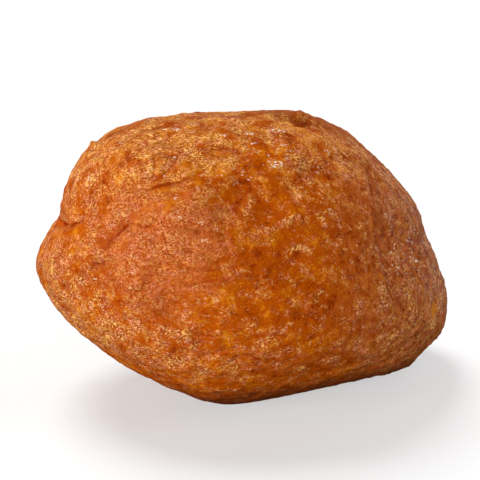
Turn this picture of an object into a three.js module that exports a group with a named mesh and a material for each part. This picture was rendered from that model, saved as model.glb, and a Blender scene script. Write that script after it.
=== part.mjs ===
// Plain oliebol: one ball of yeast dough, deep fried and left whole, so it is a single solid all through.
// Units are millimetres. The finished ball has X along it, Y back from its browned face and Z up from the table.
import * as THREE from "three";
import { mergeVertices } from "three/addons/utils/BufferGeometryUtils.js";

// Driving dimensions
const LENGTH = 95;
const FACE_HEIGHT = 67.4;
const FRONT_DEPTH = 35;
const BACK_DEPTH = 36;
const FULLNESS = 2.3;
const FACE_LEAN = THREE.MathUtils.degToRad(20);
const HEEL_SWEEP = 21;
const SWEEP_START = -20;
const FOOT_DROP = 32.4;

// Fineness of the solid: the sphere it grows from has 20 (detail + 1)^2 triangles.
const SPHERE_DETAIL = 22;
const RIM_STEPS = 720;
const CREASE_STEPS = 32;
const DEPTH_TOLERANCE = 0.01;

// The dough is shaped square on to its browned face: x along the ball, y up the face and z out of the face.
const FRONT = 1;
const BACK = -1;

// The rim where the front of the ball turns into its back, from the tip of the tail over the crown.
const RIM = [
  [-47.5, 0],
  [-44.6, 6],
  [-42, 10.8],
  [-39.8, 19],
  [-34.6, 26.2],
  [-26.5, 30.8],
  [-13, 33.1],
  [12.4, 33.7],
  [18.5, 32.1],
  [25, 28.2],
  [36.2, 17.1],
  [40.2, 11.6],
  [43.2, 3],
  [46, -4],
  [47.3, -11],
  [46, -16.8],
  [42, -21.3],
  [37, -25.7],
  [30, -27.6],
  [0, -33.5],
  [-6, -33.6],
  [-14, -31.2],
  [-28, -24.3],
  [-40, -14.8],
  [-45.8, -7],
];

// Swellings rise and hollows sink, each a round spot on the front or back with its own reach.
const SWELLS = [
  { at: [-34, -4], side: FRONT, reach: 12, rise: -1.6 }, // dip between the tail and the cheek
  { at: [-25, 20], side: FRONT, reach: 14, rise: 1.3 }, // cheek under the crown
  { at: [-15, 9], side: FRONT, reach: 12, rise: 1 }, // smooth patch below the long fold
  { at: [-15, -9], side: FRONT, reach: 12, rise: -1.2 },
  { at: [-1, 14], side: FRONT, reach: 10, rise: -1.5 }, // hollow in the middle of the face
  { at: [5, 11], side: FRONT, reach: 8, rise: -1 },
  { at: [11, 25], side: FRONT, reach: 10, rise: 1.2 },
  { at: [11.7, -0.7], side: FRONT, reach: 7, rise: -0.6 }, // small round hollow below it
  { at: [22, 8], side: FRONT, reach: 16, rise: 1.4 }, // brow before the face turns to the heel end
  { at: [34, 1], side: FRONT, reach: 13, rise: -1.4 },
  { at: [38, -12], side: FRONT, reach: 12, rise: 0.9 },
  { at: [12, -18], side: FRONT, reach: 18, rise: 1.2 }, // chin above the belly
  { at: [-22, 15], side: BACK, reach: 26, rise: 5 }, // the back's large lobe
  { at: [12, 20], side: BACK, reach: 20, rise: 3.4 },
  { at: [-3, 3], side: BACK, reach: 14, rise: -2.6 }, // dent where the back's lobes meet
  { at: [22, -5], side: BACK, reach: 20, rise: 3 },
  { at: [-24, -12], side: BACK, reach: 16, rise: -1.8 },
  { at: [33, 8], side: BACK, reach: 13, rise: -1.5 },
];

// Creases where the skin folded or tore as the dough swelled. Each runs through its points, sinks to its depth
// along that line and carries a lip beside it: left of its run if the lip is positive, right if it is negative.
const CREASES = [
  { through: [[-43, 10], [-40, 7.8], [-36, 9]], side: FRONT, width: 3, depth: 2, lip: 0.9 },
  { through: [[-25, 8.8], [-28.6, 4.9], [-32.5, -0.4]], side: FRONT, width: 3, depth: 1.3, lip: 0.6 },
  { through: [[-28, 13.6], [-18, 15.8], [-10.5, 18.2], [-4.5, 21.4]], side: FRONT, width: 4.2, depth: 1, lip: 0.7 },
  { through: [[-29, 19.5], [-23.5, 25], [-17.5, 26.2], [-11, 29.4]], side: FRONT, width: 4, depth: 0.5, lip: 0.4 },
  { through: [[-13, 21.6], [-6.5, 24.8], [-3, 24.6], [3, 22]], side: FRONT, width: 4, depth: 0.6, lip: 0.5 },
  { through: [[-1, 20], [-4.6, 12.5], [-3.6, 7], [-1.5, 2]], side: FRONT, width: 4, depth: 0.5, lip: 0.3 },
  { through: [[-15.5, -7], [-7.5, -5.4], [0, -4]], side: FRONT, width: 4, depth: 0.5, lip: 0.4 },
  { through: [[6, 32.6], [12, 31.7], [17, 29.6]], side: FRONT, width: 3, depth: 2, lip: 1 },
  { through: [[15, 27.6], [22, 22.8], [28.4, 20], [35, 11.6]], side: FRONT, width: 4, depth: 0.5, lip: 0.3 },
  { through: [[43.4, 5], [41, 3.6], [37, 4.6]], side: FRONT, width: 2.8, depth: 1, lip: 0.4 },
  { through: [[-35, 26.6], [-32.4, 24.4], [-29, 23]], side: FRONT, width: 2.6, depth: 1.1, lip: 0.7 },
  { through: [[-34, 3], [-18, 4], [-4, 5], [6, 12], [20, 13]], side: BACK, width: 4.4, depth: 1.8, lip: 1 },
  { through: [[-8, 27], [-1, 19], [0, 8]], side: BACK, width: 4, depth: 1.4, lip: -0.8 },
  { through: [[12, -16], [20, -12], [33, -11]], side: BACK, width: 4, depth: 1, lip: 0.6 },
  { through: [[-38, -8], [-26, -14], [-12, -14]], side: BACK, width: 4, depth: 1, lip: 0.6 },
  { through: [[27, 20], [31, 13], [31, 3]], side: BACK, width: 3.4, depth: 0.8, lip: 0.4 },
];

// Height of a round spot at a distance from its middle: 1 there, and level at its edge.
function spotHeight(distance, reach) {
  const share = Math.min(distance / reach, 1);
  return (1 - share * share) ** 2;
}

// Radius of the rim at any angle, read off a smooth closed curve through the rim's points.
function makeRimRadius() {
  const points = RIM.map(([along, up]) => new THREE.Vector3(along, up, 0));
  const curve = new THREE.CatmullRomCurve3(points, true, "centripetal");
  const samples = curve.getPoints(RIM_STEPS).map((point) => ({
    angle: Math.atan2(point.y, point.x),
    radius: Math.hypot(point.x, point.y),
  }));
  samples.sort((a, b) => a.angle - b.angle);
  return (angle) => {
    const next = samples.findIndex((sample) => sample.angle >= angle);
    if (next <= 0) {
      return samples[0].radius;
    }
    const before = samples[next - 1];
    const after = samples[next];
    const share = (angle - before.angle) / (after.angle - before.angle || 1);
    return THREE.MathUtils.lerp(before.radius, after.radius, share);
  };
}

const rimRadius = makeRimRadius();

// Distance from the middle to the smooth ball in one direction. The rim's outline fades into a plain oval
// towards the middle of the front and back, so that the tail, heel and nicks stay near the rim.
function ballRadius(direction) {
  const flat = Math.hypot(direction.x, direction.y);
  const depth = direction.z > 0 ? FRONT_DEPTH : BACK_DEPTH;
  if (flat === 0) {
    return depth;
  }
  const oval = flat / Math.hypot(direction.x / (LENGTH / 2), direction.y / (FACE_HEIGHT / 2));
  const rim = rimRadius(Math.atan2(direction.y, direction.x));
  const reach = THREE.MathUtils.lerp(oval, rim, flat * flat);
  const sum = (flat / reach) ** FULLNESS + (Math.abs(direction.z) / depth) ** FULLNESS;
  return sum ** (-1 / FULLNESS);
}

// The point of the smooth ball that lies straight in front of, or behind, a place on its rim's plane.
function pointOnBall([along, up], side) {
  let near = 0;
  let far = LENGTH;
  while (far - near > DEPTH_TOLERANCE) {
    const middle = (near + far) / 2;
    const point = new THREE.Vector3(along, up, side * middle);
    const inside = point.length() < ballRadius(point.clone().normalize());
    near = inside ? middle : near;
    far = inside ? far : middle;
  }
  return new THREE.Vector3(along, up, side * near);
}

const swells = SWELLS.map(({ at, side, reach, rise }) => ({ middle: pointOnBall(at, side), reach, rise }));

const creases = CREASES.map(({ through, side, width, depth, lip }) => {
  const curve = new THREE.CatmullRomCurve3(through.map((place) => pointOnBall(place, side)));
  return { points: curve.getSpacedPoints(CREASE_STEPS), width, depth, lip };
});

// Height of a crease's groove and lip at a point of the ball. Both fade out towards the crease's ends.
function creaseHeight(point, { points, width, depth, lip }) {
  const gaps = points.map((other) => point.distanceTo(other));
  const distance = Math.min(...gaps);
  if (distance > 2 * width) {
    return 0;
  }
  const nearest = gaps.indexOf(distance);
  const fade = Math.sin((Math.PI * nearest) / CREASE_STEPS);
  const before = points[Math.max(nearest - 1, 0)];
  const after = points[Math.min(nearest + 1, CREASE_STEPS)];
  const run = after.clone().sub(before);
  const leftward = point.clone().cross(run);
  const offLine = point.clone().sub(points[nearest]);
  const onLipSide = offLine.dot(leftward) * lip > 0;
  const ridge = onLipSide ? Math.abs(lip) * spotHeight(Math.abs(distance - width), width) : 0;
  return fade * (ridge - depth * spotHeight(distance, width));
}

// Distance from the middle to the crust in one direction, with its swells and creases.
function crustRadius(direction) {
  const smooth = ballRadius(direction);
  const point = direction.clone().multiplyScalar(smooth);
  const swelling = swells.reduce(
    (sum, { middle, reach, rise }) => sum + rise * spotHeight(point.distanceTo(middle), reach),
    0,
  );
  return creases.reduce((radius, crease) => radius + creaseHeight(point, crease), smooth + swelling);
}

// How far the heel end has swung back, which grows along the ball from where the sweep starts.
function sweepBack(along) {
  const share = Math.max(along - SWEEP_START, 0) / (LENGTH / 2 - SWEEP_START);
  return HEEL_SWEEP * share * share;
}

// Moves every vertex of a geometry by a function that changes it in place.
function moveVertices(geometry, move) {
  const position = geometry.getAttribute("position");
  const point = new THREE.Vector3();
  for (let index = 0; index < position.count; index += 1) {
    move(point.fromBufferAttribute(position, index));
    position.setXYZ(index, point.x, point.y, point.z);
  }
}

// Grows a fine sphere out to the crust, leans it back, settles its underside flat and centres it on the origin.
function makeCrust() {
  const sphere = new THREE.IcosahedronGeometry(1, SPHERE_DETAIL);
  sphere.deleteAttribute("normal");
  sphere.deleteAttribute("uv");
  const geometry = mergeVertices(sphere);
  moveVertices(geometry, (point) => {
    point.normalize();
    point.multiplyScalar(crustRadius(point));
    point.z -= sweepBack(point.x);
  });
  geometry.rotateX(Math.PI / 2 - FACE_LEAN);
  geometry.translate(0, 0, FOOT_DROP);
  moveVertices(geometry, (point) => {
    point.z = Math.max(point.z, 0);
  });
  geometry.computeBoundingBox();
  const { min, max } = geometry.boundingBox;
  geometry.translate(-(min.x + max.x) / 2, -(min.y + max.y) / 2, 0);
  geometry.computeVertexNormals();
  return geometry;
}

const crust = new THREE.MeshStandardMaterial({ color: 0xb45f22, roughness: 0.5, metalness: 0 });

const ball = new THREE.Mesh(makeCrust(), crust);
ball.name = "oliebol";

const oliebol = new THREE.Group();
oliebol.add(ball);

export default oliebol;
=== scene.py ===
# %% [markdown]
# A plain oliebol
# An oliebol is a ball of yeast dough, scooped by hand into hot oil and fried until its skin is amber.
# The skin sets first and the dough inside goes on swelling, so the crust folds, tears and blisters.
# The packed solid already holds the lumps and the large folds. This lesson gives it its crust.

# %% Load the packed ball
import math
from collections import namedtuple

import bmesh
import bpy
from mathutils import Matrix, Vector, noise
from mathutils.bvhtree import BVHTree
from mathutils.kdtree import KDTree


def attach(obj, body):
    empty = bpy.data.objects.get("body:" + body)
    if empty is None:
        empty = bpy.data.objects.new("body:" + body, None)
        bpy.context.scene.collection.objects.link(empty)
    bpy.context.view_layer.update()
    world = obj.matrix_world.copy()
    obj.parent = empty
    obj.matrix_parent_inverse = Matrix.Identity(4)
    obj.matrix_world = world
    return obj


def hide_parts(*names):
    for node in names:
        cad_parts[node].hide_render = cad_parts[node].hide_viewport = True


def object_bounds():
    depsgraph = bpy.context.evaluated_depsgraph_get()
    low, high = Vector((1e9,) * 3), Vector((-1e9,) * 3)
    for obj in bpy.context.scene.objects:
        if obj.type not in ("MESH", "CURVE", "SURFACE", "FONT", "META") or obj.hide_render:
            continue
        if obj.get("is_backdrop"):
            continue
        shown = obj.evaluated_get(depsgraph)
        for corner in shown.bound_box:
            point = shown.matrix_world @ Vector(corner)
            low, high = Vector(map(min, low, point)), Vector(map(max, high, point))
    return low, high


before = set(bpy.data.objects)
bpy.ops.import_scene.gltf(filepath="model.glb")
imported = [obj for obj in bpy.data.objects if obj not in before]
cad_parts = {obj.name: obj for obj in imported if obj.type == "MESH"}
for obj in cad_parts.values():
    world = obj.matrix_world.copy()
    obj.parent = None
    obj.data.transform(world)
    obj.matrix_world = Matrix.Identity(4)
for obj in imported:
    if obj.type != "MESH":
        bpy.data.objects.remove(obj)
cad_low, cad_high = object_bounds()
solid_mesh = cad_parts["oliebol"].data
MM = 0.001


def in_mm(vector):
    """A vector's parts in millimetres, rounded for printing."""
    return [round(part / MM, 1) for part in vector]


print("ball, mm:", in_mm(cad_high - cad_low))

# %% [markdown]
# The camera
# The picture looks down on the ball by about twenty degrees, square on to its browned face.
# A camera close by would swell the middle of the face, so this one stands well back with a long lens.
# The picture is a square, and its width at the ball is worked out from the ball's own length in it.

# %% Place the camera
# In pixels: the picture's side, the ball's length, and how far right and down the ball's middle lies.
PICTURE = 480
BALL_PIXELS = 412
BALL_RIGHT = 3
BALL_DOWN = 17
BALL_LENGTH = cad_high.x - cad_low.x
LOOK_DOWN = math.radians(20)
CAMERA_DISTANCE = 1.5
SENSOR = 36

ahead = Vector((0, math.cos(LOOK_DOWN), -math.sin(LOOK_DOWN)))
across = Vector((1, 0, 0))
upward = across.cross(ahead)
cad_points = [vertex.co.copy() for vertex in solid_mesh.vertices]


def middle_along(direction):
    """Halfway between the ball's ends along a direction."""
    reaches = [point.dot(direction) for point in cad_points]
    return (min(reaches) + max(reaches)) / 2


face_middle = sum((axis * middle_along(axis) for axis in (across, upward, ahead)), Vector())
pixel = BALL_LENGTH / BALL_PIXELS
aim = face_middle - across * BALL_RIGHT * pixel + upward * BALL_DOWN * pixel

camera = bpy.data.objects.new("camera", bpy.data.cameras.new("camera"))
camera.data.sensor_width = SENSOR
camera.data.lens = SENSOR * CAMERA_DISTANCE / (pixel * PICTURE)
camera.location = aim - ahead * CAMERA_DISTANCE
camera.rotation_euler = ahead.to_track_quat("-Z", "Y").to_euler()
bpy.context.scene.collection.objects.link(camera)
bpy.context.scene.camera = camera
print("lens, mm:", round(camera.data.lens))

# %% [markdown]
# The skin
# The crust is one closed skin, so it starts as a copy of the solid with its loose triangles merged.
# Each triangle is then cut in four, twice, which leaves points about half a millimetre apart.
# A few rounds of smoothing take out the solid's facets and leave its lumps and folds.

# %% Copy the solid and refine it
MERGE_GAP = 0.001 * MM
SPLITS = 2
SMOOTHING_ROUNDS = 6
SMOOTHING = 0.5

skin = bmesh.new()
skin.from_mesh(solid_mesh)
bmesh.ops.remove_doubles(skin, verts=skin.verts, dist=MERGE_GAP)
for _ in range(SPLITS):
    bmesh.ops.subdivide_edges(skin, edges=skin.edges, cuts=1, use_grid_fill=True)
for _ in range(SMOOTHING_ROUNDS):
    bmesh.ops.smooth_vert(
        skin, verts=skin.verts, factor=SMOOTHING, use_axis_x=True, use_axis_y=True, use_axis_z=True
    )
skin.normal_update()
skin.verts.ensure_lookup_table()
print("skin:", len(skin.verts), "points,", len(skin.faces), "triangles")

# %% [markdown]
# Places on the face
# Folds and dimples are easiest to measure in the picture: so far along the face and so far up it.
# A ray sent through such a place, straight along the view, finds the point of the skin that lies there.
# From behind, the same places lie on the ball's back.

# %% Find points of the skin
FRONT = 1
BACK = -1
CAST_FROM = 0.2

smooth_surface = BVHTree.FromBMesh(skin)
skin_tree = KDTree(len(skin.verts))
for vertex in skin.verts:
    skin_tree.insert(vertex.co, vertex.index)
skin_tree.balance()


def on_skin(along, up, side):
    """The point of the skin in front of, or behind, a place in millimetres from the middle of the face.

    A place just off the ball takes the nearest point of its edge.
    """
    place = face_middle + across * along * MM + upward * up * MM
    hit = smooth_surface.ray_cast(place - ahead * side * CAST_FROM, ahead * side)[0]
    return hit or smooth_surface.find_nearest(place)[0]


print("middle of the face, mm:", in_mm(on_skin(0, 0, FRONT)))

# %% [markdown]
# The folds
# Where the swelling dough pushed one piece of skin over another, a fold is left: a cut with a lip beside it.
# The deepest run down the cheek, round the tail and down the heel. A few short ones crowd on the shoulder,
# and the rest are soft valleys that come and go along their length.
# Each is a route over the face, so it could be sculpted by hand, but a list of routes can be read.

# %% Cut the folds
# A positive lip rises left of the route's run, and a negative lip right of it. Sizes are in millimetres,
# and the last number says how red the fold is.
Fold = namedtuple("Fold", "route side width depth lip red")
FOLDS = [
    Fold([(-43, 9.6), (-40, 7.6), (-36, 8.8)], FRONT, 1.5, 0.8, 0.4, 1.0),
    Fold([(-24.5, 9.2), (-26.5, 7.2), (-28.7, 4.8), (-32.5, 0.6)], FRONT, 1.2, 0.95, 0.45, 1.0),
    Fold([(-26, 8.4), (-22, 7), (-19, 9)], FRONT, 0.9, 0.45, 0.3, 0.8),
    Fold(
        [(-26.5, 14.6), (-21.5, 15.4), (-17.5, 16.6), (-13.5, 17.3), (-10, 18.8)],
        FRONT, 1.0, 0.25, 0.25, 0.65,
    ),
    Fold([(-27.6, 21), (-26, 23.6), (-24.4, 26.2)], FRONT, 0.9, 0.4, -0.25, 0.6),
    Fold([(-27.8, 20.5), (-23, 25), (-17.5, 26.4), (-12.1, 29.1)], FRONT, 2.2, 0.25, 0.2, 0.3),
    Fold([(-11, 22.6), (-6.3, 24.4), (-3, 24.8), (1, 24.4)], FRONT, 1.0, 0.12, 0.3, 0.6),
    Fold([(-18, 1.2), (-16.5, 0.5), (-15, 0.2)], FRONT, 0.8, 0.3, 0.2, 0.8),
    Fold([(-18.1, 5.6), (-17.6, 4.2), (-17, 2.8)], FRONT, 0.8, 0.25, 0.2, 0.6),
    Fold([(-4.7, 13.1), (-4.4, 6), (-2.2, -2.3)], FRONT, 1.6, 0.25, 0.1, 0.2),
    Fold([(-13.5, -6.8), (-9.5, -5.8), (-6, -5.2), (-2.2, -4.6)], FRONT, 1.3, 0.5, -0.35, 0.7),
    Fold([(10.5, 29.8), (12.3, 30.2), (13.8, 30.9), (15.2, 32), (16.2, 33)], FRONT, 1.6, 0.4, 0.35, 0.6),
    Fold([(19.4, 22.8), (21, 23.5), (22.4, 23.5)], FRONT, 0.7, 0.35, 0.3, 0.9),
    Fold([(21.4, 24.8), (22.8, 23.6), (24, 22.2)], FRONT, 0.6, 0.35, 0.3, 0.75),
    Fold([(24.2, 24.6), (25.6, 23.4), (26.8, 22)], FRONT, 0.6, 0.35, 0.3, 0.75),
    Fold([(22.6, 21.4), (24.2, 20.4), (25.6, 19)], FRONT, 0.6, 0.35, 0.3, 0.75),
    Fold([(28.6, 20.8), (29.2, 17), (30, 12), (30.8, 7.5), (30.4, 3)], FRONT, 1.5, 0.8, -0.55, 0.75),
    Fold([(26.5, 9.5), (29, 5), (31.5, 1), (33.5, -4)], FRONT, 3.2, 0.35, 0.1, 0.2),
    Fold([(30.6, 5), (32.4, -2), (33.5, -7.6), (35.8, -12.2)], FRONT, 1.4, 0.8, -0.55, 0.75),
    Fold([(16.3, 26.7), (22, 22.8), (28.4, 20), (34, 13.1)], FRONT, 1.8, 0.2, 0.25, 0.2),
    Fold([(42.2, 4.2), (40.5, 3.6), (38, 4.6)], FRONT, 1.0, 0.35, 0.25, 0.5),
    Fold([(-34, 3), (-18, 4), (-4, 5), (6, 12), (20, 13)], BACK, 1.2, 0.6, 0.4, 0.8),
    Fold([(-8, 27), (-1, 19), (0, 8)], BACK, 1.2, 0.5, -0.3, 0.6),
    Fold([(12, -16), (20, -12), (33, -11)], BACK, 1.4, 0.4, 0.3, 0.5),
    Fold([(-38, -8), (-26, -14), (-12, -14)], BACK, 1.4, 0.4, 0.3, 0.5),
    Fold([(27, 20), (31, 13), (31, 3)], BACK, 1.2, 0.3, 0.2, 0.4),
]
ROUTE_STEPS = 14
LIP_PLACE = 1.4
WAVER = 0.7
WAVER_SIZE = 3 * MM

heights = [0.0] * len(skin.verts)
fold_marks = {}


def hill(distance, reach):
    """A round hill: 1 in the middle and level at its edge."""
    share = min(distance / reach, 1)
    return (1 - share * share) ** 2


def smooth_route(places):
    """Places along a smooth curve through the given ones."""
    padded = [places[0], *places, places[-1]]
    route = []
    for index in range(len(places) - 1):
        before, start, end, after = (Vector(place) for place in padded[index:index + 4])
        for step in range(ROUTE_STEPS):
            share = step / ROUTE_STEPS
            slope = (end - before) * share + (before * 2 - start * 5 + end * 4 - after) * share ** 2
            bend = (start * 3 - before - end * 3 + after) * share ** 3
            route.append(start + (slope + bend) / 2)
    return [*route, Vector(places[-1])]


def near_route(places, side, reach):
    """Yields the points near a route, each with its distance from it and its place left of and along it.

    The last value is the route's strength there, which wavers and fades out at both ends.
    """
    laid = [on_skin(place.x, place.y, side) for place in smooth_route(places)]
    nearest = {}
    for step, point in enumerate(laid):
        for _, index, distance in skin_tree.find_range(point, reach):
            if distance < nearest.get(index, (math.inf, 0))[0]:
                nearest[index] = (distance, step)
    for index, (distance, step) in nearest.items():
        vertex = skin.verts[index]
        run = (laid[min(step + 1, len(laid) - 1)] - laid[max(step - 1, 0)]).normalized()
        offset = vertex.co - laid[step]
        left = offset.dot(vertex.normal.cross(run))
        along = sum((end - start).length for start, end in zip(laid[:step], laid[1:])) + offset.dot(run)
        fade = math.sin(math.pi * (step + 0.5) / len(laid))
        waver = 1 + WAVER * noise.noise(vertex.co / WAVER_SIZE)
        yield index, distance, left, along, fade * waver


def mark_nearest(marks, index, distance, *values):
    """Marks a point with the values of what is nearest to it."""
    if distance < marks.get(index, (math.inf,))[0]:
        marks[index] = (distance, *values)


def cut_fold(fold):
    """Adds a fold's cut and lip to the heights of the points near its route, and marks those points."""
    width = fold.width * MM
    lip_place = LIP_PLACE * width
    for index, distance, left, along, strength in near_route(fold.route, fold.side, 2 * lip_place):
        lipward = math.copysign(left, left * fold.lip)
        ridge = abs(fold.lip) * hill(abs(lipward - lip_place), lip_place)
        heights[index] += strength * (ridge - fold.depth * hill(abs(left), width)) * MM
        mark_nearest(fold_marks, index, distance, lipward / MM, along / MM, fold.red * strength)


for fold in FOLDS:
    cut_fold(fold)
print("folds:", len(FOLDS), "down to, mm:", round(min(heights) / MM, 2))

# %% [markdown]
# Welts
# On the face a few low welts stand up, and the pale lace gathers along them.
# They are routes too, so the folds' own helper finds the points near them.

# %% Raise the welts
Welt = namedtuple("Welt", "route side width rise")
WELTS = [
    Welt([(2.2, 5.5), (5.6, 6.2), (10, 8.1), (11.9, 9.2), (13.9, 7.5)], FRONT, 1.1, 0.35),
    Welt([(1.3, 14.8), (2, 12.9), (1, 11), (0.3, 9.7)], FRONT, 1.0, 0.2),
    Welt([(-7.8, 14.4), (-9.1, 11.9), (-7.8, 9.7)], FRONT, 1.2, 0.25),
    Welt([(-5, -4.6), (-2, -3.4), (0.5, -2.4)], FRONT, 0.8, 0.15),
    Welt([(10, 17.3), (12, 15.3), (14, 13.5)], FRONT, 0.8, 0.2),
    Welt([(15.1, 11.3), (17, 9.7), (18.3, 7.5), (18.9, 6.2)], FRONT, 1.0, 0.2),
    Welt([(20.2, 10.6), (22, 7.5), (22.7, 6.2)], FRONT, 0.9, 0.2),
    Welt([(9.1, 1.8), (10.7, 2.1), (13.3, 2.1), (15.1, 0.6)], FRONT, 1.0, 0.2),
    Welt([(16.5, 27.5), (20, 25), (22.5, 21.5), (22.4, 16.5)], FRONT, 1.5, 0.25),
    Welt([(20.6, 25.8), (23.6, 24.6), (26.2, 22.6), (27.2, 20)], FRONT, 1.4, 0.2),
    Welt([(-33.6, -0.3), (-31.8, 0.3), (-29.9, 0.9)], FRONT, 0.8, 0.4),
    Welt([(-20, 2), (-12, 6), (-6, 14)], BACK, 1.1, 0.25),
    Welt([(10, -4), (16, 2), (24, 4)], BACK, 1.1, 0.25),
    Welt([(-2, -10), (4, -13), (9, -12)], BACK, 1.0, 0.25),
]
WELT_REACH = 1.6
HAIR_SHIFT = 20

welt_marks = {}
for welt in WELTS:
    width = welt.width * MM
    shift = HAIR_SHIFT * welt.width
    for index, distance, left, along, strength in near_route(welt.route, welt.side, WELT_REACH * width):
        heights[index] += welt.rise * strength * hill(abs(left), width) * MM
        mark_nearest(welt_marks, index, distance, left / width, along / MM + shift, strength)
print("welts:", len(WELTS))

# %% [markdown]
# Dimples, pale patches and spots
# Small pits mark where a bubble burst, and the skin in them is red and darker: partly redder skin, partly
# painted shade in the hollow. Here and there a low pale patch stands up. Its pale colour is partly dried
# dough and partly painted glints. Low on the heel one pit shows bare gold.
# Each is an oval hill or pit on one place of the face, longer along the ball than up it. Its reach and its
# rise are in millimetres, and the last three numbers say how red, pale or gold it is.

# %% Press the dimples and raise the pale patches
Spot = namedtuple("Spot", "along up reach rise red pale gold")
SPOTS = [
    Spot(-31.9, -1.2, 1.4, -0.7, 1, 0, 0),
    Spot(-36.3, -3.9, 2.2, -0.25, 0.6, 0, 0),
    Spot(-31.5, -9.4, 1.8, -0.25, 0.6, 0, 0),
    Spot(-19.2, -12.2, 3, -0.2, 0.6, 0, 0),
    Spot(-7.3, 23.3, 1.4, -0.1, 0.6, 0, 0),
    Spot(-1.5, 24, 1.5, -0.1, 0.6, 0, 0),
    Spot(4.8, 10.8, 3, -0.25, 0.5, 0, 0),
    Spot(-1, 15, 2.6, -0.25, 0.5, 0, 0),
    Spot(-3, 10.7, 1.6, -0.2, 0.6, 0, 0),
    Spot(9.8, -1.5, 2.2, -0.15, 0.5, 0, 0),
    Spot(11.8, -12.2, 2.6, -0.15, 0.5, 0, 0),
    Spot(2, -4.4, 2.2, -0.15, 0.5, 0, 0),
    Spot(20.6, -6, 2.6, -0.15, 0.4, 0, 0),
    Spot(26.4, -18.2, 3.5, -0.15, 0.4, 0, 0),
    Spot(40.7, -9.9, 2.6, -0.2, 0.6, 0, 0),
    Spot(20.4, 22.6, 1.6, -0.25, 0.6, 0, 0),
    Spot(33.5, 2.5, 3, -0.2, 0.5, 0, 0),
    Spot(24, 9, 2.4, -0.2, 0.5, 0, 0),
    Spot(44, -12.2, 3.2, -0.5, 0, 0, 1),
    Spot(-35, 18, 2, 0.1, 0, 0.45, 0),
    Spot(-37.4, 13.5, 1.6, 0.1, 0, 0.4, 0),
    Spot(14, 30.9, 2.2, -0.3, 1, 0, 0),
    Spot(-18, 29, 1.2, 0.1, 0, 0.8, 0),
    Spot(-15.6, 29, 1.6, 0.15, 0, 1, 0),
    Spot(-14.8, 31.5, 1.1, 0.1, 0, 0.7, 0),
    Spot(-11, 30, 1.2, 0.1, 0, 0.9, 0),
    Spot(1.8, 28, 1.3, 0.15, 0, 0.6, 0),
    Spot(16.8, 19.3, 1.1, 0.1, 0, 0.7, 0),
    Spot(-4.5, 27.7, 1.1, 0.1, 0, 0.8, 0),
    Spot(3.5, 23.8, 1.2, 0.1, 0, 0.7, 0),
    Spot(9.8, 22.9, 1.2, 0.1, 0, 0.7, 0),
    Spot(7.4, 28.8, 2.1, 0.2, 0, 1, 0),
    Spot(7.9, 21, 1.5, 0.2, 0, 1, 0),
    Spot(19, 24, 1.6, 0.15, 0, 0.8, 0),
    Spot(32, 9.5, 1.8, 0.15, 0, 0.8, 0),
    Spot(42.2, 3, 1.8, 0.2, 0, 1, 0),
    Spot(-15.3, 13.7, 0.9, 0.1, 0, 1, 0),
    Spot(-14.4, 8.9, 0.8, 0.1, 0, 0.8, 0),
    Spot(-9.4, 7.8, 0.9, 0.1, 0, 0.9, 0),
    Spot(-5.8, 6.2, 0.9, 0.1, 0, 0.8, 0),
    Spot(-8.7, 3.5, 1.2, 0.1, 0, 0.7, 0),
    Spot(-25.1, -3.4, 1.0, 0.1, 0, 0.7, 0),
    Spot(-25.4, 0.3, 0.9, 0.1, 0, 0.6, 0),
    Spot(-6.3, -9.9, 1.7, 0.15, 0, 0.4, 0),
    Spot(36, -16.7, 1.7, 0.15, 0, 0.7, 0),
]
SPOT_STRETCH = 1.6

spot_marks = {}
for spot in SPOTS:
    middle = on_skin(spot.along, spot.up, FRONT)
    reach = spot.reach * MM
    for point, index, distance in skin_tree.find_range(middle, reach * SPOT_STRETCH):
        offset = point - middle
        offset.x /= SPOT_STRETCH
        share = hill(offset.length, reach)
        heights[index] += spot.rise * MM * share
        mark_nearest(spot_marks, index, distance, spot.red * share, spot.pale * share, spot.gold * share)
print("dimples, scraps and spots:", len(SPOTS))

# %% [markdown]
# The ragged edge
# Torn bits of skin break the ball's edge against the light, as small steps and thin flakes.
# A round pit there would hide behind the ball's own curve, so each step is a groove that runs straight
# away from the viewer, and a flake is the same with a rise instead of a depth.

# %% Notch the edge
Notch = namedtuple("Notch", "along up width rise")
NOTCHES = [
    Notch(-35.1, 26.6, 1.1, 1.2),
    Notch(-33, 27, 1.1, -1.2),
    Notch(6, 34, 2, -0.35),
    Notch(13.2, 33.5, 1.3, 0.3),
    Notch(16.4, 32.7, 1.4, -0.5),
    Notch(20.6, 31, 2.2, -0.45),
    Notch(38.2, -25, 3, 0.45),
]
NOTCH_LENGTH = 9 * MM

for notch in NOTCHES:
    middle = on_skin(notch.along, notch.up, FRONT)
    for point, index, _ in skin_tree.find_range(middle, NOTCH_LENGTH):
        offset = point - middle
        away = offset.dot(ahead)
        beside = (offset - ahead * away).length
        share = hill(abs(away), NOTCH_LENGTH) * hill(beside, notch.width * MM)
        heights[index] += notch.rise * MM * share
print("notches:", len(NOTCHES))

# %% [markdown]
# Wrinkles
# Fine wrinkles run round the ball in patches, where the set skin was squeezed, each with two low shoulders.
# This could be a Displace modifier with a texture, but the material has to know the wrinkles as well,
# so they are worked out point by point here, and each point keeps a mark of the wrinkle beside it.

# %% Wrinkle the skin
OCTAVE_STEP = 2.0
WRINKLE = 0.22 * MM
WRINKLE_SIZE = 6 * MM
WRINKLE_STRETCH = Vector((0.4, 0.4, 1))
WRINKLE_FALL = 1.0
WRINKLE_OCTAVES = 2
WRINKLE_BAND = 0.14
WRINKLE_PATCH = 13 * MM
PATCH_LEVEL = 0.3
PATCH_SWING = 1.6
WRINKLE_FADE = 30 * MM
SHOULDER_PLACE = 2
SHOULDER_REACH = 1.2
SHOULDER_RISE = 0.4
SWAY = 4 * MM
SWAY_SIZE = 12 * MM
SWAY_SEED = 1
WRINKLED = 0.5


def clamp(value):
    """A value held between 0 and 1."""
    return min(max(value, 0), 1)


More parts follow.
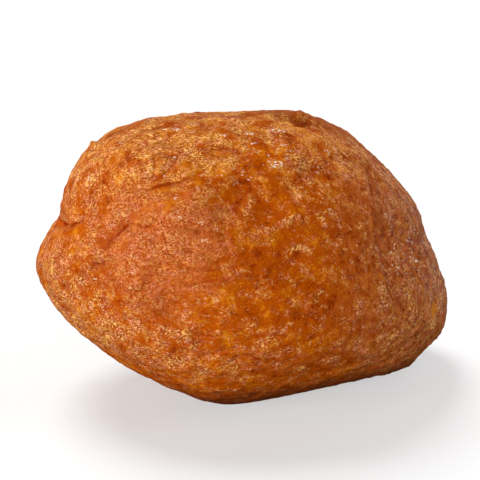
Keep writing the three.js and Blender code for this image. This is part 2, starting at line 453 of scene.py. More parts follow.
def wrinkle_at(point):
    """How far a point is beside a wrinkle, in wrinkle widths and signed, and how strong the wrinkle is there.

    Wrinkles lie where a stretched and swaying noise passes through zero. They fade towards the foot.
    """
    swayed = point + SWAY * noise.noise_vector(point / SWAY_SIZE)
    squeezed = swayed * WRINKLE_STRETCH / WRINKLE_SIZE
    beside = noise.fractal(squeezed, WRINKLE_FALL, OCTAVE_STEP, WRINKLE_OCTAVES) / WRINKLE_BAND
    patch = PATCH_LEVEL + PATCH_SWING * noise.noise(point / WRINKLE_PATCH)
    return beside, clamp(patch) * min(point.z / WRINKLE_FADE, 1)


# Without a seed, the noise that gives vectors would start from the clock.
noise.seed_set(SWAY_SEED)
wrinkle_marks = {}
for vertex in skin.verts:
    beside, strength = wrinkle_at(vertex.co)
    shoulder = SHOULDER_RISE * hill(abs(abs(beside) - SHOULDER_PLACE), SHOULDER_REACH)
    heights[vertex.index] += WRINKLE * strength * (shoulder - hill(abs(beside), 1))
    wrinkle_marks[vertex.index] = (0, beside, 0, strength)
print("wrinkled points:", sum(strength > WRINKLED for *_, strength in wrinkle_marks.values()))

# %% [markdown]
# Puckers, flakes and blisters
# Between its folds the skin is puckered and grainy, with low blisters where steam lifted it, and the dry
# heel end is flaky. Each of these is a noise of its own size, and the blisters are round hills on scattered
# points. The skin is set in a little, most at the ball's waist, so that what stands up keeps close to the
# solid. Then every point moves along its normal. The foot stays flat, because the ball rests on it.

# %% Raise the puckers, flakes and blisters
FOOT_FADE = 4 * MM
SETTLE = 0.27 * MM
SETTLE_REACH = 47 * MM
SETTLE_POWER = 0.5
PUCKER = 0.4 * MM
PUCKER_SIZE = 5 * MM
PUCKER_FALL = 0.9
PUCKER_OCTAVES = 3
GRAIN = 0.12 * MM
GRAIN_SIZE = 1.7 * MM
FLAKE = 0.32 * MM
FLAKE_SIZE = 1.2 * MM
FLAKY_FROM = 14 * MM
FLAKY_OVER = 20 * MM
BLISTER = 0.2 * MM
BLISTER_SIZE = 3.2 * MM
BLISTER_SHARE = 0.55
BLISTER_PATCH = 11 * MM
BLISTER_LEVEL = 0.3
PATCH_SHIFT = Vector((7, 3, 1))


def crust_relief(point):
    """Height of the puckers, grain, flakes and blisters at a point of the skin."""
    pucker = noise.fractal(point / PUCKER_SIZE, PUCKER_FALL, OCTAVE_STEP, PUCKER_OCTAVES)
    grain = noise.noise(point / GRAIN_SIZE)
    flaky = clamp((point.x - FLAKY_FROM) / FLAKY_OVER)
    flake = max(noise.noise(point / FLAKE_SIZE + PATCH_SHIFT), 0) * flaky
    nearest = noise.voronoi(point / BLISTER_SIZE)[0][0]
    patch = clamp(noise.noise(point / BLISTER_PATCH + PATCH_SHIFT) + BLISTER_LEVEL)
    blister = hill(nearest, BLISTER_SHARE) * patch
    return PUCKER * pucker + GRAIN * grain + FLAKE * flake + BLISTER * blister


for vertex in skin.verts:
    settled = SETTLE * hill(abs(vertex.co.x), SETTLE_REACH) ** SETTLE_POWER
    heights[vertex.index] += crust_relief(vertex.co) - settled
for vertex in skin.verts:
    above_foot = min(vertex.co.z / FOOT_FADE, 1)
    vertex.co += vertex.normal * heights[vertex.index] * above_foot
    vertex.co.z = max(vertex.co.z, 0)
print("relief, mm:", round(min(heights) / MM, 2), "to", round(max(heights) / MM, 2))

# %% [markdown]
# The crust as one object
# The finished skin becomes a mesh that takes the solid's place. Its material has to know where the folds,
# welts, wrinkles and spots are, so each point carries three numbers of each kind as an attribute.
# For the lines they are how far beside one the point is, how far along it, and how strong the line is.
# For the spots they are how red, pale and gold it is. An image could hold the same, but it would need the
# ball's skin laid flat.

# %% Make the crust's object
# A point that is near no line counts as this far beside one.
FAR = 9
MARKS = {
    "fold": (fold_marks, FAR),
    "welt": (welt_marks, FAR),
    "wrinkle": (wrinkle_marks, FAR),
    "spot": (spot_marks, 0),
}

mesh = bpy.data.meshes.new("crust")
skin.to_mesh(mesh)
skin.free()
mesh.shade_smooth()
for name, (marks, beside) in MARKS.items():
    attribute = mesh.attributes.new(name, "FLOAT_VECTOR", "POINT")
    unmarked = (0, beside, 0, 0)
    values = [part for index in range(len(mesh.vertices)) for part in marks.get(index, unmarked)[1:]]
    attribute.data.foreach_set("vector", values)
crust = bpy.data.objects.new("crust", mesh)
bpy.context.scene.collection.objects.link(crust)
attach(crust, "root")
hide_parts("oliebol")
print("crust:", len(mesh.polygons), "triangles")

# %% [markdown]
# Shader maths
# A crust's colour is a sum of many small rules, and wiring each by hand is slow to read.
# This small class wraps one socket, so that an expression such as 1 - mask adds its own Math node.


# %% A socket to reckon with
class Wire:
    """One output of a material's nodes. Operators between wires and numbers add Math nodes."""

    # Noise lies between 0 and 1, and a soft line is full over this share of its half width.
    NOISE_MIDDLE = 0.5
    LINE_CORE = 0.2

    def __init__(self, tree, socket=None):
        self.tree = tree
        self.socket = socket

    def node(self, kind, settings=None, sockets=None, output=0):
        """Adds a node, sets it up, feeds its sockets with values or wires, and returns one of its outputs."""
        made = self.tree.nodes.new(kind)
        for name, value in (settings or {}).items():
            setattr(made, name, value)
        for name, value in (sockets or {}).items():
            if isinstance(value, Wire):
                value.feed(made.inputs[name])
            else:
                made.inputs[name].default_value = value
        return Wire(self.tree, made.outputs[output])

    def feed(self, socket):
        """Leads this wire into a socket."""
        self.tree.links.new(self.socket, socket)

    def math(self, operation, first, second=0.0):
        """A Math node on two numbers."""
        return self.node("ShaderNodeMath", {"operation": operation}, {0: first, 1: second})

    def vector(self, operation, second, socket=1, output=0):
        """A Vector Math node on this wire and a second value."""
        return self.node("ShaderNodeVectorMath", {"operation": operation}, {0: self, socket: second}, output)

    def __add__(self, other):
        return self.math("ADD", self, other)

    __radd__ = __add__

    def __sub__(self, other):
        return self.math("SUBTRACT", self, other)

    def __rsub__(self, other):
        return self.math("SUBTRACT", other, self)

    def __mul__(self, other):
        return self.math("MULTIPLY", self, other)

    __rmul__ = __mul__

    def __abs__(self):
        return self.math("ABSOLUTE", self)

    def either(self, other):
        """Full where this mask or the other is full."""
        return 1 - (1 - self) * (1 - other)

    def ramp(self, low, high, start=0.0, end=1.0):
        """Goes smoothly from start to end as this value goes from low to high."""
        return self.node(
            "ShaderNodeMapRange",
            {"interpolation_type": "SMOOTHSTEP"},
            {"Value": self, "From Min": low, "From Max": high, "To Min": start, "To Max": end},
        )

    def mix(self, below, above):
        """A colour that goes from below to above as this value goes from 0 to 1.

        The node's sockets for colours come after those for numbers and vectors.
        """
        return self.node(
            "ShaderNodeMix", {"data_type": "RGBA"}, {"Factor": self, 6: below, 7: above}, output=2
        )

    def painted(self, colour, cover):
        """This colour with another laid over it, as thickly as the cover says."""
        return cover.mix(self, colour)

    def part(self, axis):
        """One of the three parts of a vector."""
        return self.node("ShaderNodeSeparateXYZ", None, {"Vector": self}, output=axis)

    def line(self, middle, half_width):
        """A soft line, 1 where this value is at the line's middle and 0 from its edges on."""
        return abs(self - middle).ramp(half_width, half_width * self.LINE_CORE)

    def noise(self, size, detail=2.0, roughness=0.5, shift=0.0, output=0):
        """Noise whose lumps are about this many of the coordinates' units across.

        A shift moves on to another part of the noise, so that two patterns of one size don't match.
        """
        moved = self.vector("ADD", (shift, shift, shift))
        return moved.node(
            "ShaderNodeTexNoise",
            None,
            {"Vector": moved, "Scale": 1 / size, "Detail": detail, "Roughness": roughness},
            output=output,
        )

    def swing(self, amount):
        """This noise, moved to swing about 0 and scaled."""
        return (self - self.NOISE_MIDDLE) * amount

    def ridge(self):
        """Lines, 1 at their middle, where this noise passes through its own middle."""
        return 1 - abs(self * 2 - 1)

    def stretch(self, *factors):
        """These coordinates scaled along each axis. A pattern on them is long where a factor is small."""
        return self.vector("MULTIPLY", factors)

    def warp(self, size, amount):
        """These coordinates pushed about by noise."""
        push = self.noise(size, detail=1.0, output="Color")
        centred = push.vector("SUBTRACT", (self.NOISE_MIDDLE,) * 3)
        return self.vector("ADD", centred.vector("SCALE", 2 * amount, socket="Scale"))


print("wire methods:", [name for name in vars(Wire) if name.islower() and not name.startswith("_")])

# %% [markdown]
# The amber
# Under everything the crust is a clear deep amber, like dark caramel, that goes redder and more golden by
# turns. Three noises of different sizes, added up, sort the places into red, amber and gold. On the crown
# and the tail a fourth one makes larger blotches of them.
# A painted image would need the ball's skin laid flat. Noise in the ball's own space has no seam.

# %% Colour the amber
# A pair of numbers says where a mask is empty and where it is full, in millimetres or on a noise's scale.
X, Y, Z = range(3)
RED_AMBER = (0.24, 0.026, 0.0, 1)
AMBER = (0.42, 0.068, 0.0008, 1)
GOLD = (0.61, 0.178, 0.004, 1)
RED_TO_AMBER = (0.38, 0.49)
AMBER_TO_GOLD = (0.51, 0.65)
BROAD_SHARE = 0.27
MOTTLE_SHARE = 0.38
FINE_SHARE = 0.35
CROWN = (46, 62)
CROWN_GOLDER = 0.03
CROWN_BLOTCHES = 0.6
TAIL = (-28, -45)
TAIL_GOLDER = 0.015
TAIL_BLOTCHES = 0.4

crust_material = bpy.data.materials.new("fried_crust")
crust_material.use_nodes = True
tree = crust_material.node_tree
shader = tree.nodes["Principled BSDF"]
start = Wire(tree)
metres = start.node("ShaderNodeTexCoord", output="Object")
place = metres.vector("SCALE", 1 / MM, socket="Scale")

broad = place.noise(7, detail=2, shift=71)
mottle = place.noise(2, detail=2, roughness=0.6, shift=37)
fine = place.noise(0.6, detail=2, roughness=0.8, shift=52)
blotches = place.noise(4.5, detail=3, roughness=0.6, shift=5) - Wire.NOISE_MIDDLE
crown = place.part(Z).ramp(*CROWN)
tail = place.part(X).ramp(*TAIL)
tone = broad * BROAD_SHARE + mottle * MOTTLE_SHARE + fine * FINE_SHARE
tone = tone + crown * (CROWN_GOLDER + blotches * CROWN_BLOTCHES)
tone = tone + tail * (TAIL_GOLDER + blotches * TAIL_BLOTCHES)
amber = tone.ramp(*RED_TO_AMBER).mix(RED_AMBER, AMBER)
amber = amber.painted(GOLD, tone.ramp(*AMBER_TO_GOLD))
print("amber:", len(tree.nodes), "nodes")

# %% [markdown]
# The dry heel
# The heel end fried longest and is a drier brown. It runs in upright streaks from light to dark, because the
# skin was drawn tight there, with olive patches between them.
# Noise on stretched coordinates gives streaks, and a warp before the stretch keeps them from running dead
# straight.

# %% Dry out the heel
HEEL_BROWN = (0.41, 0.108, 0.035, 1)
HEEL_DARK = (0.13, 0.018, 0.001, 1)
HEEL_OLIVE = (0.46, 0.19, 0.025, 1)
HEEL = (14, 42)
HEEL_COVER = 0.8
STREAK_MOTTLE = 0.6
DARK_TO_BROWN = (0.36, 0.62)
OLIVE_PATCHES = (0.5, 0.62)
OLIVE_COVER = 0.6

heel = place.part(X).ramp(*HEEL)
streaks = place.warp(6, 1.5).stretch(1, 1, 0.4).noise(1.0, detail=3, roughness=0.7, shift=12)
dry = (streaks + mottle.swing(STREAK_MOTTLE)).ramp(*DARK_TO_BROWN).mix(HEEL_DARK, HEEL_BROWN)
olive = place.noise(1.3, detail=2, roughness=0.6, shift=64).ramp(*OLIVE_PATCHES)
dry = dry.painted(HEEL_OLIVE, olive * OLIVE_COVER)
amber = amber.painted(dry, heel * HEEL_COVER)
print("amber and heel:", len(tree.nodes), "nodes")

# %% [markdown]
# Where the lace gathers
# Pale, hair-thin strokes lie over the amber: the dried rims of oil bubbles. They gather in patches, more of
# them on the crown, the tail and low on the sides, and fewer in the middle of the face and back and
# underneath. A coarse noise makes the patches, and zones of the ball raise or lower it. The same patches
# could be painted by hand as vertex colours, but a rule goes on round the ball.

# %% Gather the lace
GLAZED_FRONT = on_skin(15.6, -5, FRONT) / MM
GLAZED_BACK = on_skin(-8, 0, BACK) / MM
GLAZE_ENDS = (5, 48)
DUSTY_FRONT = on_skin(-34, -21, FRONT) / MM
DUST = (20, 4)
CLEAR_FRONT = on_skin(5, 16.5, FRONT) / MM
CLEAR = (10, 3)
HAIRY_CROWN = on_skin(14, 23, FRONT) / MM
CROWN_HAIR = (7, 2)
HAIRY_SHOULDER = on_skin(23.5, 21.5, FRONT) / MM
SHOULDER_HAIR = (8, 2)
LOW_SIDES = (34, 24)
UNDERNEATH = (20, 9)
LACE_CONTRAST = 1.4
LACE_LEVEL = -0.285
LACE_PATCHES = (0.46, 0.9)


def away_from(spot):
    """How many millimetres a place lies away from a spot."""
    return place.vector("DISTANCE", spot, output="Value")


bare = away_from(GLAZED_FRONT).ramp(*GLAZE_ENDS) * away_from(GLAZED_BACK).ramp(*GLAZE_ENDS)
dusty = away_from(DUSTY_FRONT).ramp(*DUST)
clear = away_from(CLEAR_FRONT).ramp(*CLEAR)
hairy = away_from(HAIRY_CROWN).ramp(*CROWN_HAIR).either(away_from(HAIRY_SHOULDER).ramp(*SHOULDER_HAIR))
low_sides = place.part(Z).ramp(*LOW_SIDES)
underneath = place.part(Z).ramp(*UNDERNEATH)
laid = place.stretch(0.8, 1, 1.1)
near = laid.noise(4.2, detail=4, roughness=0.68, shift=20)
gathered = near * LACE_CONTRAST + LACE_LEVEL
# Each zone comes with how much it adds to the lace.
for zone, more in (
    (bare, 0.17),
    (crown, 0.1 + blotches * 0.8),
    (dusty, 0.1),
    (tail, 0.08),
    (low_sides, 0.09),
    (underneath, -0.2),
    (hairy, -0.04),
    (clear, -0.14),
):
    gathered = gathered + zone * more
patches = gathered.ramp(*LACE_PATCHES)
print("lace patches:", len(tree.nodes), "nodes")

# %% [markdown]
# The veil, partly painted sheen, and the threads
# On the cheek, in front and behind, oil has dried to a thin rosy veil. Its paler, rosier colour is also a
# painted sheen. Elsewhere the patches are felted with short pale threads and granules, from rose to straw,
# with dark gaps between them.
# One warped and stretched noise gives both: its high places are the threads, and its low places the gaps.

# %% Lay the veil and the threads
VEIL_AND_SHEEN = (0.53, 0.11, 0.016, 1)
ROSE = (0.97, 0.42, 0.22, 1)
STRAW = (1.0, 0.545, 0.145, 1)
PORE = (0.26, 0.024, 0.0, 1)
OILY_FRONT = on_skin(-20, 3, FRONT) / MM
OILY_BACK = on_skin(22, 6, BACK) / MM
CHEEK = (27, 8)
VEIL_RAGGED = 2.5
VEIL_EDGE = (0.4, 1.1)
VEIL_COVER = 0.7
CROWN_STRAW = 0.06
ROSE_TO_STRAW = (0.37, 0.63)
GRANULES = (0.5, 0.6)
GRANULE_COVER = 0.35
THREADS = (0.51, 0.6)
THREADS_LOST_IN_VEIL = 0.65
THREADS_ON_VEIL = 0.2
GAPS = (0.46, 0.38)
GAPS_IN_PATCHES = 0.75
GAPS_LOST_ON_CROWN = 0.3
GAPS_ON_VEIL = 0.6
GAPS_IN_HAIR = 0.5

cheeks = away_from(OILY_FRONT).ramp(*CHEEK).either(away_from(OILY_BACK).ramp(*CHEEK))
veil_and_sheen = (cheeks + near.swing(VEIL_RAGGED)).ramp(*VEIL_EDGE)
# Painted sheen in part: the veil's paler, rosier colour on the cheeks.
crust_colour = amber.painted(VEIL_AND_SHEEN, veil_and_sheen * VEIL_COVER)
tint = place.noise(1.8, detail=2, roughness=0.6, shift=48) + crown * CROWN_STRAW
lace_colour = tint.ramp(*ROSE_TO_STRAW).mix(ROSE, STRAW)
granules = place.noise(0.38, detail=1, roughness=0.6, shift=33).ramp(*GRANULES)
fibres = place.warp(2.2, 1.6).stretch(0.5, 1, 1).noise(0.4, detail=1, roughness=0.6, shift=90)
threads = fibres.ramp(*THREADS)
thready = (patches * (1 - veil_and_sheen * THREADS_LOST_IN_VEIL)).either(veil_and_sheen * THREADS_ON_VEIL)
crust_colour = crust_colour.painted(lace_colour, threads.either(granules * GRANULE_COVER) * thready)
gaps = fibres.ramp(*GAPS)
gappy = (patches * (GAPS_IN_PATCHES - crown * GAPS_LOST_ON_CROWN)).either(veil_and_sheen * GAPS_ON_VEIL)
crust_colour = crust_colour.painted(PORE, gaps * gappy.either(hairy * GAPS_IN_HAIR))
print("threads:", len(tree.nodes), "nodes")

# %% [markdown]
# Curls, hairs and pores
# Single strokes stand out from the felt: curls in clusters and on the shoulders of wrinkles, hairs across the
# welts, pale grain on the veil that is partly painted glints, and dark pores all over.
# A ridge of noise gives the curls and a finer noise breaks them up. The hairs are noise on the welts' own
# coordinates, along and across each welt, so that they follow it round its bends.

# %% Curl the lace
BESIDE, ALONG, STRENGTH = range(3)
WRINKLE_SHOULDER = (1.7, 0.9)
SHOULDER_LACE = 0.6
CURLS = (0.78, 0.97)
STROKES = (0.4, 0.58)
HAIR_STRETCH = 0.5
HAIRS = (0.46, 0.62)
WELT_RAGGED = 2
WELT_EDGE = (1.0, 0.3)
CLUSTERS = (0.48, 0.68)
CLUSTERS_IN_HAIR = 0.7
CLUSTERS_LOST_IN_CLEAR = 0.5
LACE_LOST_IN_VEIL = 0.45
LACE_COVER = 0.76
GRAINS = (0.62, 0.7)
GRAIN_COVER = 0.4
PORES = (0.42, 0.32)
PORE_COVER = 0.25
PORES_IN_PATCHES = 0.4


def marks_of(name):
    """The three numbers that the mesh carries under a name."""
    return start.node("ShaderNodeAttribute", {"attribute_name": name}, output="Vector")


wrinkle_lines = marks_of("wrinkle")
wrinkle_side = wrinkle_lines.part(BESIDE)
wrinkled = wrinkle_lines.part(STRENGTH)
shoulders = abs(wrinkle_side).line(*WRINKLE_SHOULDER) * wrinkled
curls = laid.warp(0.8, 0.45).noise(1.1, detail=1, roughness=0.6).ridge().ramp(*CURLS)
strokes = curls * place.noise(0.45, detail=2, roughness=0.6, shift=8).ramp(*STROKES)
welt_lines = marks_of("welt")
welt_side = welt_lines.part(BESIDE)
hair_place = start.node(
    "ShaderNodeCombineXYZ", None, {"X": welt_lines.part(ALONG), "Y": welt_side * HAIR_STRETCH}
)
hairs = hair_place.warp(0.7, 0.3).noise(0.42, detail=2, roughness=0.6).ramp(*HAIRS)
ragged_welt = welt_side + fine.swing(WELT_RAGGED)
hairs = hairs * abs(ragged_welt).ramp(*WELT_EDGE) * welt_lines.part(STRENGTH)
clusters = laid.noise(2.4, detail=3, roughness=0.6, shift=60).ramp(*CLUSTERS)
clusters = clusters.either(hairy * CLUSTERS_IN_HAIR) * (1 - clear * CLUSTERS_LOST_IN_CLEAR)
lace = (strokes * clusters.either(shoulders * patches * SHOULDER_LACE)).either(hairs)
lace = lace * (1 - veil_and_sheen * LACE_LOST_IN_VEIL)
crust_colour = crust_colour.painted(lace_colour, lace * LACE_COVER)
# Pale grain on the veil, partly painted glints of the sheen.
grains_and_glints = place.noise(0.4, detail=1, roughness=0.6, shift=31).ramp(*GRAINS)
crust_colour = crust_colour.painted(lace_colour, grains_and_glints * veil_and_sheen * GRAIN_COVER)
pores = place.noise(0.6, detail=1, roughness=0.6, shift=44).ramp(*PORES)
crust_colour = crust_colour.painted(PORE, pores * (PORE_COVER + patches * PORES_IN_PATCHES))
print("lace:", len(tree.nodes), "nodes")

# %% [markdown]
# Redder folds
# The skin inside a fold was hidden from the air and stays red, and the lip's edge carries a little lace.
# On the heel a darker brown band is painted in the valleys beside the folds, as shade.
# The mesh's marks tell how far each point is beside a fold, so the colours can't slip off the relief.

# %% Redden the folds
# A line is given by its middle and its half width, in millimetres towards the lip.
FOLD_RED = (0.52, 0.08, 0.003, 1)
FOLD_VALLEY_SHADE = (0.22, 0.055, 0.02, 1)
FOLD_RAGGED = 0.5
RED_BANK = (-0.7, 1.0)
RED_COVER = 0.6
RED_LOST_ON_HEEL = 0.5
SHADED_VALLEY = (-0.8, 2.2)
SHADED_FOLDS = (25, 31)
VALLEY_SHADE_COVER = 0.65
LACE_RIM = (0.75, 0.6)
RIM_COVER = 0.45

fold_lines = marks_of("fold")
folded = fold_lines.part(STRENGTH)
fold_side = fold_lines.part(BESIDE) + fine.swing(FOLD_RAGGED)
red_bank = fold_side.line(*RED_BANK) * folded * (RED_COVER - heel * RED_LOST_ON_HEEL)
crust_colour = crust_colour.painted(FOLD_RED, red_bank)
# Painted shade: a darker brown band in the valleys beside the heel's folds.
heel_valley_shade = place.part(X).ramp(*SHADED_FOLDS) * VALLEY_SHADE_COVER
crust_colour = crust_colour.painted(FOLD_VALLEY_SHADE, fold_side.line(*SHADED_VALLEY) * folded * heel_valley_shade)
rim = fold_side.line(*LACE_RIM) * granules * folded * RIM_COVER
crust_colour = crust_colour.painted(lace_colour, rim)
print("folds:", len(tree.nodes), "nodes")

# %% [markdown]
# Spots and the floors of folds
# The dimples are red, and they are painted darker as shade in the hollows as well. The pit on the heel is
# gold.
# The floor of each fold and wrinkle is a thin dark line of painted shade.
# A round spot with a clean edge looks stuck on, so mottled noise frays each one towards its edge.

# %% Colour the spots and paint shade along the floors of folds
RED, PALE, GILT = range(3)
FOLD_FLOOR_SHADE = (0.29, 0.02, 0.0, 1)
SPOT_FRAY = (0, 0.3)
GILDED = (0.15, 0.6)
GILT_COVER = 0.85
PIT_RED_AND_SHADE = (0.1, 0.9)
SPOT_RED_COVER = 0.7
FOLD_FLOOR = (0, 0.4)
WRINKLE_FLOOR = (0, 0.7)
WRINKLE_SHADE = 0.45
FLOOR_SHADE_COVER = 0.9

spot_values = marks_of("spot")
gold_spot = spot_values.part(GILT)
gilded = (gold_spot + (mottle + fine - 1) * gold_spot.ramp(*SPOT_FRAY)).ramp(*GILDED)
crust_colour = crust_colour.painted(GOLD, gilded * GILT_COVER)
# Red pits: redder skin and painted shade in the hollow, laid on in one darker red.
red_spot = spot_values.part(RED)
pit_red_and_shade = (red_spot + mottle.swing(red_spot.ramp(*SPOT_FRAY))).ramp(*PIT_RED_AND_SHADE)
crust_colour = crust_colour.painted(RED_AMBER, pit_red_and_shade * SPOT_RED_COVER)
# Painted shade: a thin dark line along the floor of each fold and wrinkle.
wrinkle_floor_shade = wrinkle_side.line(*WRINKLE_FLOOR) * wrinkled * WRINKLE_SHADE
shaded_floors = (fold_side.line(*FOLD_FLOOR) * folded).either(wrinkle_floor_shade)
crust_colour = crust_colour.painted(FOLD_FLOOR_SHADE, shaded_floors * FLOOR_SHADE_COVER)
print("spots and floors:", len(tree.nodes), "nodes")

# %% [markdown]
# Painted shade on the foot and the crown
# The lowest band, from the middle to the heel where the ball meets the floor, is painted darkest as shade. A
# patch of the crown behind its front edge, where the crown turns away from the light, is painted darker as
# shade too.
# Both are zones of the ball, but a zone has straight edges. So noise frays the foot's height, and the crown's
# patch is measured on warped coordinates.

# %% Paint shade on the foot and the crown
FOOT_SHADE = (0.11, 0.023, 0.007, 1)
CROWN_SHADE = (0.26, 0.042, 0.006, 1)
FOOT_RAGGED = 5
FOOT = (12, 3)
FOOT_FROM_TAIL = (-26, -8)
FOOT_SHADE_COVER = 0.82
CROWN_SHADE_FROM_FRONT = (-4, 2)
CROWN_SHADE_FROM_BACK = (26, 8)
CROWN_SHADE_FROM_TAIL = (-4, 6)
CROWN_SHADE_FROM_HEEL = (34, 20)
CROWN_SHADE_COVER = 0.4
CROWN_SHADE_MOTTLE = 0.4

# Painted shade: the lowest band, towards the heel, is darkened where the ball meets the floor.
foot_height = place.part(Z) + place.noise(2, detail=3, roughness=0.6, shift=25).swing(FOOT_RAGGED)
foot = foot_height.ramp(*FOOT) * place.part(X).ramp(*FOOT_FROM_TAIL)
crust_colour = crust_colour.painted(FOOT_SHADE, foot * FOOT_SHADE_COVER)
# Painted shade: a darker patch where the crown turns away behind its front edge.
strayed = place.warp(9, 5)
crown_shade = crown * strayed.part(Y).ramp(*CROWN_SHADE_FROM_FRONT) * strayed.part(Y).ramp(*CROWN_SHADE_FROM_BACK)
crown_shade = crown_shade * strayed.part(X).ramp(*CROWN_SHADE_FROM_TAIL) * strayed.part(X).ramp(*CROWN_SHADE_FROM_HEEL)
crust_colour = crust_colour.painted(CROWN_SHADE, crown_shade * (CROWN_SHADE_COVER + mottle * CROWN_SHADE_MOTTLE))
print("foot and crown:", len(tree.nodes), "nodes")

# %% [markdown]
# Oil flecks
# Drops of oil and loose grains catch the light as tiny pale flecks, thickest on the heel and low under the
# tail, and the raised pale patches are made of them too. On the crown and the heel they are whiter.
# Real glints would need grains far smaller than the mesh, so each fleck is a speck of pale colour: partly the
# grains' own paleness and partly a painted glint.

# %% Scatter the flecks
FLECK = (0.95, 0.58, 0.32, 1)
WHITE_GLINT = (1.0, 0.84, 0.7, 1)
GLINTING = (16, 34)
OIL_ON_CROWN = 0.05
OIL_ON_HEEL = 0.16
OIL_ON_DUST = 0.16
SPECKS = (0.62, 0.72)
OILY_PATCHES = (0.61, 0.77)
SCRAP_RAGGED = 1.5
SCRAPS = (0.25, 0.6)
DOTS = (0.52, 0.62)
FLECK_COVER = 0.85
FLECKS_LOST_ON_FOOT = 0.6

glinting = heel * place.part(Z).ramp(*GLINTING)
oily = place.noise(4, detail=2, shift=15) + crown * OIL_ON_CROWN
oily = oily + glinting * OIL_ON_HEEL + dusty * OIL_ON_DUST
specks = place.stretch(0.6, 1, 1).noise(0.6, detail=1, shift=9).ramp(*SPECKS)
pale_spot = spot_values.part(PALE)
# The raised pale patches: partly dried dough, partly painted glints.
scraps_and_glints = (pale_spot + near.swing(SCRAP_RAGGED) * pale_spot.ramp(*SPOT_FRAY)).ramp(*SCRAPS)
dots = place.noise(0.5, detail=1, roughness=0.6, shift=18).ramp(*DOTS)
# Painted glints, in part: the flecks, whiter on the crown and the heel.
flecks = (specks * oily.ramp(*OILY_PATCHES)).either(dots * scraps_and_glints)
fleck_colour = crown.either(glinting).mix(FLECK, WHITE_GLINT)
crust_colour = crust_colour.painted(fleck_colour, flecks * (FLECK_COVER - foot * FLECKS_LOST_ON_FOOT))
crust_colour.feed(shader.inputs["Base Color"])
print("crust colour:", len(tree.nodes), "nodes")

# %% [markdown]
# Gloss and grain
# The crust itself is almost dull. A thin coat of oil shines on the threads of the cheeks and faintly on the
# heel, and the dry floors of folds have none.
# The finest grain is smaller than the mesh, so it is bump. The larger relief is real, in the mesh.

# %% Set the gloss and the grain
GLOSS_PATCHES = (0.3, 0.7)
ROUGHNESS = (0.4, 0.6)
SPECULAR = 0.02
COAT_ON_CHEEKS = 0.28
COAT_ON_HEEL = 0.1
COAT_ROUGHNESS = 0.28
SMOOTH_SKIN = 0.35
THREAD_HEIGHT = 0.09
GAP_SHARE = 0.5
LACE_HEIGHT = 0.08
SHOULDER_HEIGHT = 0.05
FLOOR_DEPTH = 0.2

roughness = place.noise(2.2, detail=2, shift=80).ramp(*GLOSS_PATCHES, *ROUGHNESS)
roughness.feed(shader.inputs["Roughness"])
shader.inputs["Specular IOR Level"].default_value = SPECULAR
coat = (cheeks * threads * COAT_ON_CHEEKS + heel * COAT_ON_HEEL) * (1 - shaded_floors)
coat.feed(shader.inputs["Coat Weight"])
shader.inputs["Coat Roughness"].default_value = COAT_ROUGHNESS
rough_skin = patches.ramp(0, 1, SMOOTH_SKIN, 1)
relief = (threads - gaps * GAP_SHARE) * rough_skin * THREAD_HEIGHT
relief = relief + lace * LACE_HEIGHT + shoulders * SHOULDER_HEIGHT - shaded_floors * FLOOR_DEPTH
bump = start.node("ShaderNodeBump", None, {"Height": relief, "Strength": 1.0, "Distance": MM})
bump.feed(shader.inputs["Normal"])
mesh.materials.append(crust_material)
print("crust material:", len(tree.nodes), "nodes")

# %% [markdown]
# Light
# The browned face is lit by one large soft lamp low on the left. Two weaker ones fill in the front and the
# heel end, and three stand behind: two of them high, for the crown, and one low. These six are kept out of
# the gloss, and two more lamps do nothing but shine in it, so that light and glints can be set apart.
# Sun lamps with a wide angle are as soft as large panels, and they light the floor evenly all round.

# %% Light the ball
# Turns, lifts and spreads are in degrees, and turns go from the viewer round to the right.
Lamp = namedtuple("Lamp", "turn lift spread strength lights glints")
LAMPS = {
    "key_lamp": Lamp(-62, 0, 34, 2.95, True, False),
    "front_lamp": Lamp(-3, 10, 40, 1.72, True, False),
    "side_lamp": Lamp(84, 12, 40, 1.5, True, False),
    "back_left_lamp": Lamp(-150, 56, 31, 2.5, True, False),
    "back_lamp": Lamp(180, 4, 40, 1.2, True, False),
    "back_right_lamp": Lamp(138, 32, 31, 0.3, True, False),
    "sheen_lamp": Lamp(-40, 24, 50, 3, False, True),
    "rim_lamp": Lamp(142, 0, 40, 0.35, False, True),
}
WHITE = (1, 1, 1, 1)
ROOM_LIGHT = 0.08

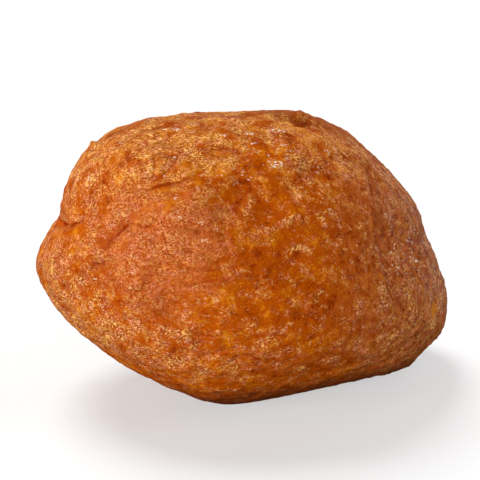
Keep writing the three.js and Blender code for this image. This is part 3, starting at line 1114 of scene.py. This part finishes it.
for name, setting in LAMPS.items():
    lamp = bpy.data.lights.new(name, "SUN")
    lamp.angle = math.radians(setting.spread)
    lamp.energy = setting.strength
    turn = math.radians(setting.turn)
    lift = math.radians(setting.lift)
    level = math.cos(lift)
    towards = Vector((math.sin(turn) * level, -math.cos(turn) * level, math.sin(lift)))
    stand = bpy.data.objects.new(name, lamp)
    stand.location = face_middle + towards
    stand.rotation_euler = (-towards).to_track_quat("-Z", "Y").to_euler()
    stand.visible_diffuse = setting.lights
    stand.visible_glossy = setting.glints
    bpy.context.scene.collection.objects.link(stand)

world = bpy.data.worlds.new("room")
bpy.context.scene.world = world
world.use_nodes = True
background = world.node_tree.nodes["Background"]
background.inputs["Color"].default_value = WHITE
background.inputs["Strength"].default_value = ROOM_LIGHT
world.cycles_visibility.glossy = False
bpy.context.scene.view_settings.view_transform = "Standard"
print("lamps:", len(LAMPS))

# %% [markdown]
# Floor
# A plain pale floor reaches past the picture's edges. It glows a little, so that the shadows on it stay
# faint, and it is hidden from the ball's own light, because that glow would light the underside.

# %% Lay the floor
FLOOR_HALF = 6
FLOOR_PALE = (0.5, 0.5, 0.5, 1)
FLOOR_GLOW = 0.5
FLOOR_ROUGHNESS = 0.9

floor_shape = bmesh.new()
bmesh.ops.create_grid(floor_shape, x_segments=1, y_segments=1, size=FLOOR_HALF)
floor_mesh = bpy.data.meshes.new("floor")
floor_shape.to_mesh(floor_mesh)
floor_shape.free()
floor = bpy.data.objects.new("floor", floor_mesh)
bpy.context.scene.collection.objects.link(floor)
floor_material = bpy.data.materials.new("pale_floor")
floor_material.use_nodes = True
floor_shader = floor_material.node_tree.nodes["Principled BSDF"]
floor_shader.inputs["Base Color"].default_value = FLOOR_PALE
floor_shader.inputs["Roughness"].default_value = FLOOR_ROUGHNESS
floor_shader.inputs["Specular IOR Level"].default_value = 0
floor_shader.inputs["Emission Color"].default_value = WHITE
floor_shader.inputs["Emission Strength"].default_value = FLOOR_GLOW
floor_mesh.materials.append(floor_material)
floor.visible_diffuse = False
floor.visible_glossy = False
floor.visible_shadow = False
floor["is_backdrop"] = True
print("floor, m:", 2 * FLOOR_HALF)

# %% [markdown] Measure The crust grew from the solid, so both should fill nearly the same box.

# %% Print the crust's box
visual_low, visual_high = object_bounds()
print("visual box, mm:", in_mm(visual_high - visual_low))
